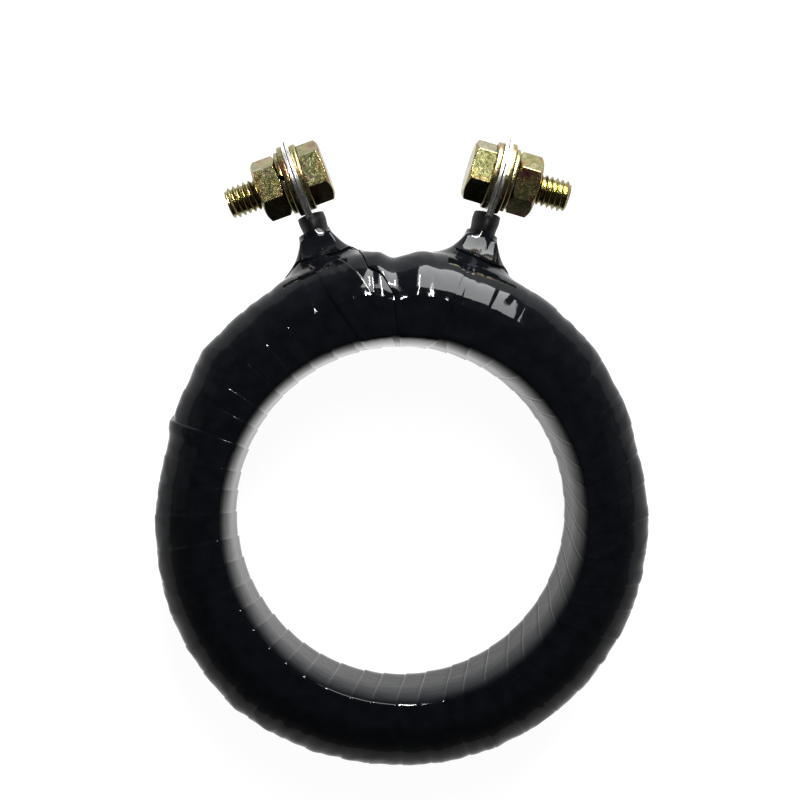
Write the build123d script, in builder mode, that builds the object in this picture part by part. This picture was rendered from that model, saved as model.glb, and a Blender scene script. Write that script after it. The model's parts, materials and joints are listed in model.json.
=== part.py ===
from build123d import *
import os
from dataclasses import dataclass
from math import cos, pi, radians, sin, tan

# Ring (window-type) current transformer with two screw terminals.
# Millimetres. The ring's axis is +Z, the origin is the middle of the window, the back face
# rests on the floor side (-Z), and the two terminals stand out towards +Y.

# Ring
window_diameter = 62.0
ring_diameter = 88.0
ring_width = 34.0
outer_corner_radius = 5.7
inner_corner_radius = 3.0
swell_height = 2.9            # tape build-up on the outside, between the terminals
swell_start_angle = 32.0      # the build-up runs between these two angles, from +X
swell_end_angle = 150.0
swell_blend_radius = 30.0

# Layers, from the outside in
tape_thickness = 2.0
film_thickness = 0.5
wire_diameter = 1.4
paper_thickness = 0.6
strip_thickness = 0.35
strip_pitch = 0.5             # strip and the varnish gap to the next turn

# Winding
turn_count = 60
winding_start_angle = 107.0   # under the left terminal, from +X
winding_end_angle = 74.0      # under the right terminal
wire_bend_inner = 1.2         # bend of the wire at the window side
wire_bend_outer = 2.5         # and at the rim
lead_rise = 2.5               # a lead leaves its outer leg this far from mid-height
lead_bend_radius = 3.0

# Terminals
lug_centre_radius = 64.0      # ring axis to bolt axis
terminal_nod = 3.5            # the bolt head stands this much higher than the thread end
palm_radius = 7.2
palm_thickness = 1.3
palm_edge_radius = 0.25
neck_shoulder = 3.0           # below the bolt axis, where the palm starts to narrow
neck_half_width = 3.5
hole_radius = 3.2
barrel_radius = 1.9
barrel_top = 10.5             # distances below the bolt axis
barrel_end = 15.5
wire_stop = 11.0

# Heat-shrink sleeve and tape collar, both oval: across the bolt axis and along it
sleeve_top = 7.2
sleeve_half_depth = 4.2
sleeve_half_width = 2.45
sleeve_wall = 0.5
sleeve_reach = 24.0
collar_top = 13.6
collar_waist = 16.6
collar_foot = 20.5
collar_lip = 0.35

# M6 hardware
bolt_length = 15.0
shank_radius = 2.75           # under the nut and the washers
stud_radius = 2.95            # exposed end of the thread
stud_gap = 0.3                # between the nut's face and the full-size stud
tip_chamfer = 0.5
hex_across_flats = 10.0
head_height = 4.0
nut_height = 4.7
hex_chamfer_angle = 30.0
hex_chamfer_share = 0.95      # radius of the chamfer's inner rim, as a share of half the flats
nut_bore_radius = 3.0
inner_washer_radius = 6.2
inner_washer_thickness = 1.0
outer_washer_radius = 6.6
outer_washer_thickness = 1.05
spring_washer_radius = 5.85
spring_washer_thickness = 0.9
spring_washer_gap = 0.8
spring_gap_slant = 20.0
washer_bore_radius = 3.2
spring_bore_radius = 3.1
face_gap = 0.02               # between pieces that turn against each other


@dataclass
class Terminal:
    name: str
    side: int                 # -1 left of +Y, +1 right of it
    swing: float              # place of the bolt axis, degrees from +Y
    lean: float               # lean of the lug, degrees from +Y
    head_turn: float          # turn of the bolt head's front flat, degrees
    nut_turn: float           # turn of the nut's front flat, degrees
    winding_angle: float      # where its lead leaves the winding


terminals = [
    Terminal("left", -1, 17.4, 20.0, 0.9, 3.9, winding_start_angle),
    Terminal("right", 1, 15.9, 16.0, 6.9, -6.1, winding_end_angle),
]

# Derived sizes of the layers
window_radius = window_diameter / 2
ring_radius = ring_diameter / 2
half_width = ring_width / 2
film_inner = window_radius + tape_thickness
film_outer = ring_radius - tape_thickness
film_half = half_width - tape_thickness
coil_inner = film_inner + film_thickness
coil_outer = film_outer - film_thickness
coil_half = film_half - film_thickness
papered_inner = coil_inner + wire_diameter
papered_outer = coil_outer - wire_diameter
papered_half = coil_half - wire_diameter
core_inner = papered_inner + paper_thickness
core_outer = papered_outer - paper_thickness
core_half = papered_half - paper_thickness
rim_bend_centre = coil_outer - wire_diameter / 2 - wire_bend_outer
rim_bend_level = coil_half - wire_diameter / 2 - wire_bend_outer

# Stack along the bolt axis, measured from the middle of the palm towards the thread end
inner_washer_face = -(palm_thickness / 2 + face_gap)
head_face = inner_washer_face - inner_washer_thickness
outer_washer_face = palm_thickness / 2 + face_gap
spring_washer_face = outer_washer_face + outer_washer_thickness + face_gap
nut_face = spring_washer_face + spring_washer_thickness + face_gap
nut_end = nut_face + nut_height
bolt_end = head_face + bolt_length


def on_ring(radius, angle, height=0.0):
    """Point at a radius and an angle from +X, at a height along the ring's axis."""
    return Vector(radius * cos(radians(angle)), radius * sin(radians(angle)), height)


def bolt_plane(terminal):
    """Plane at the palm's middle: X up the lug, Z along the bolt to its thread end."""
    side, lean, nod = terminal.side, radians(terminal.lean), radians(terminal_nod)
    centre = on_ring(lug_centre_radius, 90 - side * terminal.swing)
    up = Vector(side * sin(lean), cos(lean), 0)
    along = Vector(side * cos(lean) * cos(nod), -sin(lean) * cos(nod), -sin(nod))
    return Plane(origin=centre, x_dir=up, z_dir=along)


def bolt_section(plane):
    """Plane through the bolt axis: X up the lug, Y along the bolt."""
    return Plane(origin=plane.origin, x_dir=plane.x_dir, z_dir=-plane.y_dir)


def bolt_axis(plane):
    return Axis(plane.origin, plane.z_dir)


def lug_section(plane, below):
    """Plane across the lug, a distance below the bolt axis: X across the palm, Y along the bolt."""
    centre = plane.origin - plane.x_dir * below
    return Plane(origin=centre, x_dir=plane.y_dir, z_dir=plane.x_dir)


def write(part, name):
    part.label = name
    export_step(part, f"parts/{name}.step")


def make_core_strip():
    """One strip wound as a spiral of half-circle arcs, then given the core's width."""
    half_turns = int((core_outer - core_inner - strip_thickness) / strip_pitch) * 2
    step = strip_pitch / 2
    with BuildPart() as core_strip:
        with BuildSketch(Plane.XY.offset(-core_half)):
            with BuildLine():
                for edge_offset in (0, strip_thickness):
                    inner_x = core_inner + edge_offset
                    start = Vector(inner_x, 0)
                    radius = inner_x
                    direction = 1
                    for _ in range(half_turns):
                        end = start - Vector(direction * (2 * radius + step), 0)
                        middle = (start + end) / 2 + Vector(0, direction * (radius + step / 2))
                        ThreePointArc(start, middle, end)
                        start, radius, direction = end, radius + step, -direction
                    if edge_offset == 0:
                        inner_end = start
                Line(inner_end, start)
                Line((core_inner, 0), (core_inner + strip_thickness, 0))
            make_face()
        extrude(amount=2 * core_half)
    core_strip.part.label = "core_strip"
    export_step(core_strip.part, "parts/core_strip.step")


def make_core_insulation():
    """Paper round the bore and the outside of the core, and a fibre ring on each edge."""
    papers = {
        "core_paper_inner": (papered_inner, core_inner, core_half),
        "core_paper_outer": (core_outer, papered_outer, rim_bend_level),
    }
    for name, (inner, outer, half) in papers.items():
        with BuildPart() as core_paper:
            with BuildSketch(Plane.XY.offset(-half)):
                Circle(outer)
                Circle(inner, mode=Mode.SUBTRACT)
            extrude(amount=2 * half)
        write(core_paper.part, name)

    end_rings = {"core_end_ring_front": core_half, "core_end_ring_back": -papered_half}
    for name, height in end_rings.items():
        with BuildPart() as core_end_ring:
            with BuildSketch(Plane.XY.offset(height)):
                Circle(rim_bend_centre)
                Circle(core_inner, mode=Mode.SUBTRACT)
            extrude(amount=paper_thickness)
        write(core_end_ring.part, name)


def make_secondary_winding():
    """One turn round the core's section, copied round the ring so that the ends meet."""
    wire_radius = wire_diameter / 2
    outer_leg = coil_outer - wire_radius
    inner_leg = coil_inner + wire_radius
    level = coil_half - wire_radius
    span = 360 - (winding_start_angle - winding_end_angle)
    turn_angle = span / turn_count
    middle_angle = winding_start_angle + turn_angle / 2
    next_angle = winding_start_angle + turn_angle

    with BuildPart() as turn:
        with BuildLine() as turn_path:
            FilletPolyline(
                on_ring(outer_leg, winding_start_angle),
                on_ring(outer_leg, winding_start_angle, -level),
                on_ring(inner_leg, middle_angle, -level),
                on_ring(inner_leg, middle_angle, level),
                on_ring(outer_leg, next_angle, level),
                on_ring(outer_leg, next_angle),
                radius=[wire_bend_outer, wire_bend_inner, wire_bend_inner, wire_bend_outer],
            )
        with BuildSketch(Plane(origin=turn_path.line @ 0, z_dir=turn_path.line % 0)):
            Circle(wire_radius)
        sweep()

    with BuildPart() as secondary_winding:
        with PolarLocations(0, turn_count, angular_range=span):
            add(turn.part)
    secondary_winding.part.label = "secondary_winding"
    export_step(secondary_winding.part, "parts/secondary_winding.step")


def make_lead(terminal):
    """End of the winding: off its outer leg, out through the film and into the lug's barrel."""
    plane = bolt_plane(terminal)
    wire_radius = wire_diameter / 2
    outer_leg = coil_outer - wire_radius
    with BuildPart() as lead:
        with BuildLine() as lead_path:
            FilletPolyline(
                on_ring(outer_leg, terminal.winding_angle),
                on_ring(outer_leg, terminal.winding_angle, -terminal.side * lead_rise),
                plane.origin - plane.x_dir * (barrel_end + 1),
                plane.origin - plane.x_dir * wire_stop,
                radius=[wire_bend_inner, lead_bend_radius],
            )
        with BuildSketch(Plane(origin=lead_path.line @ 0, z_dir=lead_path.line % 0)):
            Circle(wire_radius)
        sweep()
    write(lead.part, f"lead_{terminal.name}")
    return lead.part


def layer_section(inner, outer, half, depth):
    """Section of a layer that lies a depth under the tape's surface, with rounded corners."""
    with BuildSketch(Plane.XZ) as section:
        with Locations(((inner + outer) / 2, 0)):
            Rectangle(outer - inner, 2 * half)
        corners = section.vertices().sort_by(Axis.X)
        fillet(corners[:2], inner_corner_radius - depth)
        fillet(corners[2:], outer_corner_radius - depth)
    return section.sketch


def make_film_wrap(leads):
    """Insulating film all round the winding, pierced by the two leads."""
    film_depth = tape_thickness + film_thickness
    film_section = layer_section(film_inner, film_outer, film_half, tape_thickness)
    coil_section = layer_section(coil_inner, coil_outer, coil_half, film_depth)
    with BuildPart() as film_wrap:
        revolve(film_section, axis=Axis.Z)
        revolve(coil_section, axis=Axis.Z, mode=Mode.SUBTRACT)
        for lead in leads:
            add(lead, mode=Mode.SUBTRACT)
    film_wrap.part.label = "film_wrap"
    export_step(film_wrap.part, "parts/film_wrap.step")


def ring_body():
    """The taped ring with no cavity: a round outline that swells between the terminals."""
    start = on_ring(ring_radius, swell_start_angle)
    end = on_ring(ring_radius, swell_end_angle)
    with BuildPart() as body:
        with BuildSketch(Plane.XY.offset(-half_width)) as outline:
            with BuildLine():
                ThreePointArc(start, on_ring(ring_radius + swell_height, 90), end)
                ThreePointArc(end, on_ring(ring_radius, 270), start)
            make_face()
            fillet(outline.vertices(), swell_blend_radius)
            Circle(window_radius, mode=Mode.SUBTRACT)
        extrude(amount=ring_width)
        rims = body.faces().filter_by(GeomType.PLANE).edges()
        window_rims = rims.filter_by(
            lambda edge: edge.geom_type == GeomType.CIRCLE and abs(edge.radius - window_radius) < 0.01
            and edge.arc_center.length <= half_width + 0.01
        )
        outer_rims = [edge for edge in rims if edge not in window_rims]
        fillet(window_rims, inner_corner_radius)
        fillet(outer_rims, outer_corner_radius)
    return body.part


def make_sleeve(terminal):
    """Oval heat-shrink tube from the neck of the lug down to the film."""
    plane = bolt_plane(terminal)
    with BuildPart() as sleeve:
        with BuildSketch(lug_section(plane, sleeve_top)):
            Ellipse(sleeve_half_depth, sleeve_half_width)
            Ellipse(sleeve_half_depth - sleeve_wall, sleeve_half_width - sleeve_wall,
                    mode=Mode.SUBTRACT)
        extrude(amount=-sleeve_reach)
        with BuildSketch(Plane.XY.offset(-half_width)):
            Circle(film_outer)
        extrude(amount=ring_width, mode=Mode.SUBTRACT)
    write(sleeve.part, f"sleeve_{terminal.name}")
    with BuildPart() as sleeve_envelope:
        with BuildSketch(lug_section(plane, sleeve_top)):
            Ellipse(sleeve_half_depth, sleeve_half_width)
        extrude(amount=-sleeve_reach)
    return sleeve_envelope.part


def make_outer_tape(body, sleeve_envelopes):
    """Shell of wound tape: the ring's body less the film's space and the sleeves."""
    film_section = layer_section(film_inner, film_outer, film_half, tape_thickness)
    with BuildPart() as outer_tape:
        add(body)
        revolve(film_section, axis=Axis.Z, mode=Mode.SUBTRACT)
        for envelope in sleeve_envelopes:
            add(envelope, mode=Mode.SUBTRACT)
    outer_tape.part.label = "outer_tape"
    export_step(outer_tape.part, "parts/outer_tape.step")


def make_tape_collar(terminal, body, sleeve_envelope):
    """Tape drawn up round the sleeve's foot, spreading on to the ring."""
    plane = bolt_plane(terminal)
    depth = sleeve_half_depth + collar_lip
    width = sleeve_half_width + collar_lip
    with BuildPart() as tape_collar:
        with BuildSketch(lug_section(plane, collar_top)):
            Ellipse(depth, width)
        with BuildSketch(lug_section(plane, collar_waist)):
            Ellipse(depth * 1.25, width * 1.5)
        with BuildSketch(lug_section(plane, collar_foot)):
            Ellipse(depth * 2.3, width * 3.4)
        loft()
        add(body, mode=Mode.SUBTRACT)
        add(sleeve_envelope, mode=Mode.SUBTRACT)
        with BuildSketch(Plane.XY.offset(-half_width)):
            Circle(ring_radius - outer_corner_radius)
        extrude(amount=ring_width, mode=Mode.SUBTRACT)
    write(tape_collar.part, f"tape_collar_{terminal.name}")


def make_lug(terminal):
    """Tube lug: a flattened, rounded palm that narrows and opens into the crimped barrel."""
    plane = bolt_plane(terminal)
    with BuildPart() as lug:
        with BuildSketch(plane.offset(-palm_thickness / 2)):
            Circle(palm_radius)
            with BuildLine():
                Polyline(
                    (-neck_shoulder, palm_radius * 0.88),
                    (-sleeve_top, neck_half_width),
                    (-sleeve_top, -neck_half_width),
                    (-neck_shoulder, -palm_radius * 0.88),
                    close=True,
                )
            make_face()
        extrude(amount=palm_thickness)
        fillet(lug.edges(), palm_edge_radius)
        with BuildSketch(lug_section(plane, sleeve_top - palm_edge_radius * 2)):
            Ellipse(neck_half_width - palm_edge_radius, palm_thickness / 2 - 0.05)
        with BuildSketch(lug_section(plane, barrel_top)):
            Circle(barrel_radius)
        loft()
        with BuildSketch(lug_section(plane, barrel_top)):
            Circle(barrel_radius)
        extrude(amount=barrel_top - barrel_end)
        with BuildSketch(lug_section(plane, barrel_end)):
            Circle(wire_diameter / 2)
        extrude(amount=barrel_end - wire_stop, mode=Mode.SUBTRACT)
        with BuildSketch(plane.offset(-palm_thickness)):
            Circle(hole_radius)
        extrude(amount=2 * palm_thickness, mode=Mode.SUBTRACT)
    write(lug.part, f"lug_{terminal.name}")


def chamfered_barrel(start, end, both_ends):
    """Half profile of the turned shape that takes the corners off a hexagon."""
    flat = hex_across_flats / 2
    corner = flat / cos(pi / 6)
    lip = hex_chamfer_share * flat
    drop = (corner - lip) * tan(radians(hex_chamfer_angle))
    if both_ends:
        return [(0, start), (lip, start), (corner, start + drop), (corner, end - drop),
                (lip, end), (0, end)]
    return [(0, start), (corner, start), (corner, end - drop), (lip, end), (0, end)]


def make_bolt(terminal):
    """Hex bolt: chamfered head, plain shank for the thread, and a chamfered tip."""
    plane = bolt_plane(terminal)
    with BuildPart() as bolt:
        with BuildSketch(plane.offset(head_face)):
            RegularPolygon(hex_across_flats / 2, 6, major_radius=False,
                           rotation=-terminal.side * terminal.head_turn)
        extrude(amount=-head_height)
        with BuildSketch(bolt_section(plane)):
            with BuildLine():
                Polyline(chamfered_barrel(head_face, head_face - head_height, False), close=True)
            make_face()
        revolve(axis=bolt_axis(plane), mode=Mode.INTERSECT)
        with BuildSketch(bolt_section(plane)):
            with BuildLine():
                Polyline(
                    (0, head_face - 1),
                    (shank_radius, head_face - 1),
                    (shank_radius, nut_end + stud_gap),
                    (stud_radius, nut_end + stud_gap),
                    (stud_radius, bolt_end - tip_chamfer),
                    (stud_radius - tip_chamfer, bolt_end),
                    (0, bolt_end),
                    close=True,
                )
            make_face()
        revolve(axis=bolt_axis(plane))
    write(bolt.part, f"bolt_{terminal.name}")


def make_nut(terminal):
    """Hex nut, chamfered on both faces."""
    plane = bolt_plane(terminal)
    with BuildPart() as nut:
        with BuildSketch(plane.offset(nut_face)):
            RegularPolygon(hex_across_flats / 2, 6, major_radius=False,
                           rotation=-terminal.side * terminal.nut_turn)
        extrude(amount=nut_height)
        with BuildSketch(bolt_section(plane)):
            with BuildLine():
                Polyline(chamfered_barrel(nut_face, nut_end, True), close=True)
            make_face()
        revolve(axis=bolt_axis(plane), mode=Mode.INTERSECT)
        with BuildSketch(plane.offset(nut_face)):
            Circle(nut_bore_radius)
        extrude(amount=nut_height, mode=Mode.SUBTRACT)
    write(nut.part, f"nut_{terminal.name}")


def make_flat_washer(name, plane, face, thickness, radius):
    with BuildPart() as washer:
        with BuildSketch(plane.offset(face)):
            Circle(radius)
            Circle(washer_bore_radius, mode=Mode.SUBTRACT)
        extrude(amount=thickness)
    write(washer.part, name)


def make_spring_washer(terminal):
    """Split washer, pressed flat, with its slanted gap on the upper side."""
    plane = bolt_plane(terminal)
    with BuildPart() as spring_washer:
        with BuildSketch(plane.offset(spring_washer_face)):
            Circle(spring_washer_radius)
            Circle(spring_bore_radius, mode=Mode.SUBTRACT)
            with Locations((spring_washer_radius * 0.75, 0)):
                Rectangle(spring_washer_radius, spring_washer_gap, rotation=spring_gap_slant,
                          mode=Mode.SUBTRACT)
        extrude(amount=spring_washer_thickness)
    write(spring_washer.part, f"spring_washer_{terminal.name}")


os.makedirs("parts", exist_ok=True)

make_core_strip()
make_core_insulation()
make_secondary_winding()
make_film_wrap([make_lead(terminal) for terminal in terminals])

ring = ring_body()
envelopes = {terminal.name: make_sleeve(terminal) for terminal in terminals}
make_outer_tape(ring, envelopes.values())

for terminal in terminals:
    make_tape_collar(terminal, ring, envelopes[terminal.name])
    make_lug(terminal)
    make_bolt(terminal)
    palm_middle = bolt_plane(terminal)
    make_flat_washer(f"inner_washer_{terminal.name}", palm_middle,
                     head_face, inner_washer_thickness, inner_washer_radius)
    make_flat_washer(f"outer_washer_{terminal.name}", palm_middle,
                     outer_washer_face, outer_washer_thickness, outer_washer_radius)
    make_spring_washer(terminal)
    make_nut(terminal)
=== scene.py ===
"""Looks of a ring current transformer: a taped ring, crimped terminals and plated bolts.

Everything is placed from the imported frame. Shapes are worked out in millimetres and turned
into metres when a piece is put in its place.
"""

import json
import math

import bmesh
import bpy
import numpy as np
from mathutils import Matrix, Vector, noise

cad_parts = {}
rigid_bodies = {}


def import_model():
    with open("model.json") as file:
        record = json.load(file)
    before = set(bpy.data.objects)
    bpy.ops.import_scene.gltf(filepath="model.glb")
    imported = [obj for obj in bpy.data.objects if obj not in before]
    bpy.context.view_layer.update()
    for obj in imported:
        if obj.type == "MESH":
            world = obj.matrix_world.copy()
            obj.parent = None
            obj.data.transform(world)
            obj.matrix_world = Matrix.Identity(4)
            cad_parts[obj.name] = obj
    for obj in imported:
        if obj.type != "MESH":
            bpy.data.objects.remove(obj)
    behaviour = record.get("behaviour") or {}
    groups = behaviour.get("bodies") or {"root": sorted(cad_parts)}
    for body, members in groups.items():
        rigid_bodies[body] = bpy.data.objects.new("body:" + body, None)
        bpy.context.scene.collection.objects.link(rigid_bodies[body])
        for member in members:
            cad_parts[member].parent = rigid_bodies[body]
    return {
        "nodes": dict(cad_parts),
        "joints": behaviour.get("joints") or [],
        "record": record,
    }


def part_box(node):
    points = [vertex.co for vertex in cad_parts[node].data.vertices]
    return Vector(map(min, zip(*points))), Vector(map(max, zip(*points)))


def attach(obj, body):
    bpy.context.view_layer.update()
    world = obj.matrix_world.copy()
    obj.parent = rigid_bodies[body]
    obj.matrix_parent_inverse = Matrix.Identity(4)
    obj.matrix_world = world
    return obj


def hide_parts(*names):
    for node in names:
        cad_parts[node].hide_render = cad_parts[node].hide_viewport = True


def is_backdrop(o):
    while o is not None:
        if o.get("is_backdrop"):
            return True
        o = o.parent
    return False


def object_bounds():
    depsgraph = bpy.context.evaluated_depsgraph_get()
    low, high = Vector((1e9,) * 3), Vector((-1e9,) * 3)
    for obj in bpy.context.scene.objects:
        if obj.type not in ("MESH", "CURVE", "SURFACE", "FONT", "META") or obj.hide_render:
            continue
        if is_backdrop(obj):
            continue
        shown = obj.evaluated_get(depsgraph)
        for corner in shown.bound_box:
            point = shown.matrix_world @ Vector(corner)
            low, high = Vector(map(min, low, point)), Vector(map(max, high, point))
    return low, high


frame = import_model()

bl_info = {
    "name": "Ring current transformer",
    "version": (1, 0, 0),
    "blender": (4, 5, 0),
    "location": "3D View > Sidebar > Ring CT",
    "description": "Tape, terminals and plated bolts of a ring current transformer, in a studio",
    "category": "Add Mesh",
}

MM = 0.001
SIDES = ("left", "right")


# ---------------------------------------------------------------- measuring the frame


def node_points(node):
    """The vertices of a CAD node, in millimetres."""
    mesh = frame["nodes"][node].data
    flat = np.zeros(len(mesh.vertices) * 3)
    mesh.vertices.foreach_get("co", flat)
    return flat.reshape(-1, 3) / MM


def joint_of(name):
    """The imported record's joint of that name."""
    return next(joint for joint in frame["joints"] if joint["name"] == name)


class Terminal:
    """A terminal's own axes: x up its lug, z along its bolt to the thread end."""

    def __init__(self, side):
        joint = joint_of(f"bolt_{side}_turn")
        self.side = side
        self.centre = Vector(joint["pos_m"]) / MM
        self.along = Vector(joint["axis"]).normalized()
        up = Vector((-self.along.y, self.along.x, 0)).normalized()
        self.up = up if up.y > 0 else -up
        self.across = self.along.cross(self.up)
        self.matrix = Matrix((self.up, self.across, self.along)).transposed().to_4x4()
        self.matrix.translation = self.centre
        self.angle = math.atan2(self.centre.y, self.centre.x)

    def local(self, node):
        """A CAD node's vertices on this terminal's axes, in millimetres."""
        axes = np.array([self.up, self.across, self.along])
        return (node_points(node) - np.array(self.centre)) @ axes.T

    def span(self, node):
        """Where a CAD node starts and ends along the bolt."""
        heights = self.local(node)[:, 2]
        return float(heights.min()), float(heights.max())

    def radii(self, node):
        """The smallest and largest distance of a CAD node's vertices from the bolt's axis."""
        distances = np.hypot(*self.local(node)[:, :2].T)
        return float(distances.min()), float(distances.max())

    def corner(self, node):
        """The angle round the bolt of a hexagon's corner."""
        points = self.local(node)
        far = points[np.argmax(np.hypot(points[:, 0], points[:, 1]))]
        return math.atan2(far[1], far[0])

    def opening(self, node):
        """The angle round the bolt of the middle of a split washer's gap."""
        points = self.local(node)
        angles = np.sort(np.arctan2(points[:, 1], points[:, 0]))
        gaps = np.diff(np.append(angles, angles[0] + 2 * math.pi))
        widest = int(np.argmax(gaps))
        return float(angles[widest] + gaps[widest] / 2)


TERMINALS = {side: Terminal(side) for side in SIDES}


# ---------------------------------------------------------------- settings


class TapeSettings(bpy.types.PropertyGroup):
    """Sizes and finish of the wound tape."""

    turns: bpy.props.IntProperty(
        name="Turns", description="Turns of tape round the ring", default=48
    )
    step: bpy.props.FloatProperty(
        name="Step",
        description="Height of the edge of each turn",
        default=0.00017,
        unit="LENGTH",
        precision=5,
    )
    ripple: bpy.props.FloatProperty(
        name="Ripple",
        description="Height of the narrow wrinkles",
        default=0.0001,
        unit="LENGTH",
        precision=5,
    )
    fold: bpy.props.FloatProperty(
        name="Fold",
        description="Height of the wide folds by the terminals",
        default=0.0003,
        unit="LENGTH",
        precision=5,
    )
    web: bpy.props.FloatProperty(
        name="Web",
        description="How far the tape climbs a terminal",
        default=0.0053,
        unit="LENGTH",
        precision=4,
    )
    colour: bpy.props.FloatVectorProperty(
        name="Colour",
        description="Colour of the tape",
        default=(0.002, 0.0024, 0.0032),
        subtype="COLOR",
        size=3,
    )
    roughness: bpy.props.FloatProperty(
        name="Roughness",
        description="How dull the tape's gloss is",
        default=0.055,
        subtype="FACTOR",
        min=0,
        max=1,
    )


class BoltSettings(bpy.types.PropertyGroup):
    """Sizes and finish of the bolts, nuts and washers."""

    pitch: bpy.props.FloatProperty(
        name="Pitch", description="Thread pitch", default=0.001, unit="LENGTH", precision=4
    )
    thread_depth: bpy.props.FloatProperty(
        name="Thread depth",
        description="Crest to root",
        default=0.00056,
        unit="LENGTH",
        precision=5,
    )
    end_face: bpy.props.FloatProperty(
        name="End face",
        description="Share of the flats' width that the flat end face takes",
        default=0.95,
        subtype="FACTOR",
        min=0,
        max=1,
    )
    edge: bpy.props.FloatProperty(
        name="Edge",
        description="Rounding of the hexagons' edges",
        default=0.00014,
        unit="LENGTH",
        precision=5,
    )
    roughness: bpy.props.FloatProperty(
        name="Roughness",
        description="How dull the plating is",
        default=0.22,
        subtype="FACTOR",
        min=0,
        max=1,
    )


class StageSettings(bpy.types.PropertyGroup):
    """Camera and lights."""

    lens: bpy.props.FloatProperty(
        name="Lens", description="Focal length on a 36 mm sensor", default=81.9, unit="CAMERA"
    )
    camera_place: bpy.props.FloatVectorProperty(
        name="Camera place",
        description="Where the camera stands",
        default=(-0.0066, 0.019, 0.332),
        subtype="TRANSLATION",
        size=3,
        precision=4,
    )
    camera_turn: bpy.props.FloatVectorProperty(
        name="Camera turn",
        description="Turn from straight down, to +X and to +Y",
        default=(math.radians(1.07), math.radians(0.31)),
        subtype="EULER",
        size=2,
    )
    floor_glow: bpy.props.FloatProperty(
        name="Floor glow",
        description="Brightness of the floor itself",
        default=0.97,
        min=0,
        max=3,
    )
    strip_power: bpy.props.FloatProperty(
        name="Strip light", description="Power of the narrow light", default=7.0, unit="POWER"
    )
    panel_power: bpy.props.FloatProperty(
        name="Panel light", description="Power of the wide light", default=13.0, unit="POWER"
    )
    contrast: bpy.props.FloatProperty(
        name="Contrast",
        description="Display gamma: lower is deeper blacks",
        default=0.82,
        min=0.3,
        max=1.5,
    )
    side_power: bpy.props.FloatProperty(
        name="Side lights", description="Power of each side light", default=0.05, unit="POWER"
    )


# ---------------------------------------------------------------- mesh helpers


def activate(thing):
    """Makes thing the only selected object, and the active one."""
    for other in bpy.context.scene.objects:
        other.select_set(False)
    thing.select_set(True)
    bpy.context.view_layer.objects.active = thing


def apply_modifiers(thing):
    """Applies thing's modifiers in their order."""
    activate(thing)
    for name in [modifier.name for modifier in thing.modifiers]:
        bpy.ops.object.modifier_apply(modifier=name)


def thicken(thing, thickness, offset):
    """Gives a sheet a thickness, about it for offset 0 and inside it for offset -1."""
    shell = thing.modifiers.new("Shell", "SOLIDIFY")
    shell.thickness = thickness
    shell.offset = offset
    apply_modifiers(thing)


def new_mesh(name, points, faces):
    """A linked mesh object from points and faces."""
    mesh = bpy.data.meshes.new(name)
    mesh.from_pydata([tuple(point) for point in points], [], faces)
    thing = bpy.data.objects.new(name, mesh)
    bpy.context.scene.collection.objects.link(thing)
    return thing


def close_up(thing, fill=True):
    """Merges doubles, drops faces of no area, fills open rims and turns every face outwards."""
    mesh = bmesh.new()
    mesh.from_mesh(thing.data)
    bmesh.ops.remove_doubles(mesh, verts=mesh.verts, dist=1e-4)
    bmesh.ops.dissolve_degenerate(mesh, edges=mesh.edges, dist=1e-5)
    if fill:
        rims = [edge for edge in mesh.edges if edge.is_boundary]
        bmesh.ops.holes_fill(mesh, edges=rims, sides=0)
    bmesh.ops.recalc_face_normals(mesh, faces=mesh.faces)
    mesh.to_mesh(thing.data)
    mesh.free()


def finish_piece(thing, body, material, nodes=(), matrix=None, smooth=35):
    """Puts a piece in its place in metres, gives it its body and material, and hides the CAD nodes
    it replaces.
    """
    thing.data.transform(Matrix.Scale(MM, 4) @ (matrix or Matrix.Identity(4)))
    if smooth:
        activate(thing)
        bpy.ops.object.shade_smooth_by_angle(angle=math.radians(smooth))
    thing.data.materials.clear()
    thing.data.materials.append(material)
    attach(thing, body)
    if nodes:
        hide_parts(*nodes)


def repaint(node, material):
    """Gives a carried-over CAD node its material."""
    thing = frame["nodes"][node]
    if not thing.material_slots:
        thing.data.materials.append(None)
    for place in thing.material_slots:
        place.link = "OBJECT"
        place.material = material


def helical_faces(rows, columns, shift, closed):
    """Quads of a grid whose last column meets its first one shift rows further on."""
    faces = []
    for row in range(rows if closed else rows - shift - 1):
        for column in range(columns):
            corners = []
            for down, right in ((0, 0), (0, 1), (1, 1), (1, 0)):
                step, place = row + down, column + right
                if place == columns:
                    step, place = step + shift, 0
                corners.append((step % rows if closed else step) * columns + place)
            faces.append(corners)
    return faces


def grid_faces(rows, columns, closed):
    """Quads of a grid of points, whose last row may meet its first one."""
    faces = []
    for row in range(rows if closed else rows - 1):
        after = (row + 1) % rows
        for column in range(columns - 1):
            low, high = row * columns + column, after * columns + column
            faces.append((low, high, high + 1, low + 1))
    return faces


def smoothed(value, low, high):
    """0 below low, 1 above high, and a smooth step between."""
    share = np.clip((value - low) / (high - low), 0, 1)
    return share * share * (3 - 2 * share)


# ---------------------------------------------------------------- materials


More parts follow.
